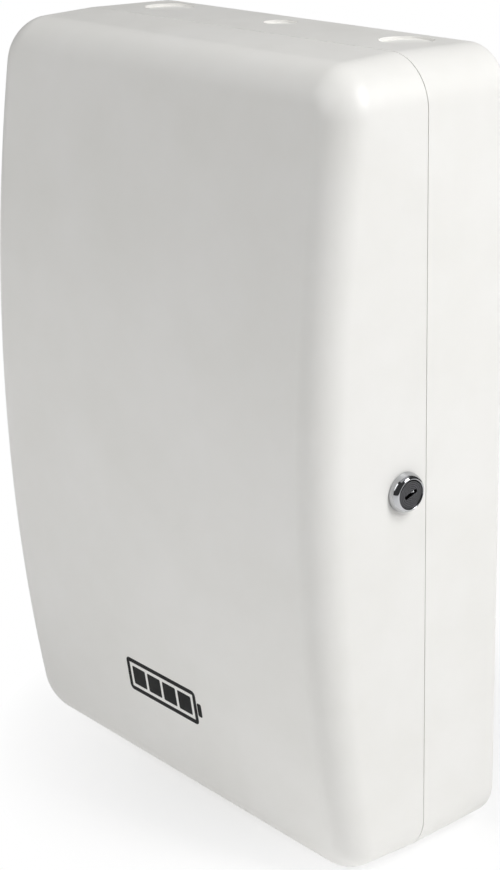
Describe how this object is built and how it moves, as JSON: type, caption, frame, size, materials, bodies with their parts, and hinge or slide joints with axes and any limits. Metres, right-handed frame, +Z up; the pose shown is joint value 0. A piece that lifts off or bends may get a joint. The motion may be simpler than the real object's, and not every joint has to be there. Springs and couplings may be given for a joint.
{
  "type": "wall battery unit",
  "caption": "Lockable two-part wall enclosure with a bowed, hinged front cover, holding a sealed battery, a power supply, a charger board and their wiring.",
  "frame": {"origin": "centre of the back face, on the wall plane", "axes": "+Z up, +Y into the wall so that the front faces -Y, +X to the right as seen from the front"},
  "size_m": [0.2722, 0.111, 0.38],
  "materials": {
    "case_plastic": "satin moulded ABS with a fine spark texture, white",
    "steel": "plain steel, machined",
    "zinc_steel": "zinc-plated steel sheet",
    "chrome": "bright chrome plating",
    "dark_chrome": "turned face, dark",
    "aluminium": "mill-finish aluminium sheet and extrusion",
    "circuit_board": "green solder mask over glass-fibre laminate",
    "battery_case": "moulded ABS, dark grey",
    "battery_lid": "moulded ABS, near black",
    "tinned_lead": "tinned brass tab",
    "terminal_green": "moulded polyamide, green",
    "terminal_black": "moulded polyamide, black",
    "nylon": "natural nylon",
    "clear_guard": "clear polycarbonate flap",
    "ferrite": "sintered ferrite with a taped winding",
    "relay_blue": "moulded relay case",
    "fuse_amber": "moulded blade fuse",
    "capacitor_sleeve": "shrink sleeve over an aluminium can",
    "red_plastic": "moulded plastic and wire insulation, red",
    "black_insulation": "wire insulation, black",
    "brown_insulation": "wire insulation, brown",
    "blue_insulation": "wire insulation, blue",
    "earth_insulation": "wire insulation, green and yellow"
  },
  "bodies": {
    "base": {"back_box": "case_plastic", "hinge_pin_upper": "steel", "hinge_pin_lower": "steel", "strike_screw_lower": "steel", "strike_screw_upper": "steel", "strap_screw_left": "steel", "strap_screw_right": "steel", "board_screw_1": "steel", "board_screw_2": "steel", "board_screw_3": "steel", "board_screw_4": "steel", "tamper_spring": "steel", "lock_strike": "zinc_steel", "battery_strap": "zinc_steel", "battery_case": "battery_case", "battery_lid": "battery_lid", "battery_terminal_positive": "tinned_lead", "battery_terminal_negative": "tinned_lead", "psu_chassis": "aluminium", "psu_cover": "aluminium", "heat_sink": "aluminium", "psu_board": "circuit_board", "charger_board": "circuit_board", "psu_transformer": "ferrite", "inductor": "ferrite", "psu_terminal_strip": "terminal_black", "mains_fuse_base": "terminal_black", "fuse_holder": "terminal_black", "tamper_switch_body": "terminal_black", "test_button_body": "terminal_black", "mains_terminal_block": "nylon", "board_pillar_1": "nylon", "board_pillar_2": "nylon", "board_pillar_3": "nylon", "board_pillar_4": "nylon", "battery_plug": "nylon", "filter_capacitor_1": "capacitor_sleeve", "filter_capacitor_2": "capacitor_sleeve", "relay": "relay_blue", "input_terminal_block": "terminal_green", "output_terminal_block": "terminal_green", "signal_terminal_block": "terminal_green", "battery_lead_red": "red_plastic", "dc_wire_positive": "red_plastic", "battery_lead_black": "black_insulation", "dc_wire_negative": "black_insulation", "mains_wire_live": "brown_insulation", "mains_wire_neutral": "blue_insulation", "mains_wire_earth": "earth_insulation"},
    "cover": {"front_cover": "case_plastic", "lock_housing": "chrome", "lock_nut": "zinc_steel"},
    "lock": {"lock_plug": "dark_chrome", "lock_cam": "zinc_steel", "lock_cam_screw": "steel"},
    "plunger": {"tamper_plunger": "nylon"},
    "fuse_carrier": {"mains_fuse_carrier": "terminal_black"},
    "blade_fuse": {"blade_fuse": "fuse_amber"},
    "button": {"test_button_cap": "red_plastic"},
    "guard": {"psu_terminal_guard": "clear_guard"}
  },
  "joints": [
    {"name": "cover_hinge", "type": "hinge", "parent": "base", "child": "cover", "pos_m": [-0.134, -0.049, 0], "axis": [0, 0, -1], "range_deg": [0, 110]},
    {"name": "lock_turn", "type": "hinge", "parent": "cover", "child": "lock", "pos_m": [0.12852, -0.062, 0.001], "axis": [0.9993, -0.037, 0], "range_deg": [0, 90]},
    {"name": "tamper_press", "type": "slide", "parent": "base", "child": "plunger", "axis": [0, 1, 0], "range_m": [0, 0.003], "stiffness_N_per_m": 200, "springref_m": -0.004, "deforming": ["tamper_spring"]},
    {"name": "fuse_carrier_pull", "type": "slide", "parent": "base", "child": "fuse_carrier", "axis": [0, -1, 0], "range_m": [0, 0.012]},
    {"name": "blade_fuse_pull", "type": "slide", "parent": "base", "child": "blade_fuse", "axis": [0, -1, 0], "range_m": [0, 0.01]},
    {"name": "test_press", "type": "slide", "parent": "base", "child": "button", "axis": [0, 1, 0], "range_m": [0, 0.0006], "stiffness_N_per_m": 800, "springref_m": -0.0005},
    {"name": "guard_lift", "type": "hinge", "parent": "base", "child": "guard", "pos_m": [-0.069, -0.0232, 0.0696], "axis": [-1, 0, 0], "range_deg": [0, 90]}
  ]
}
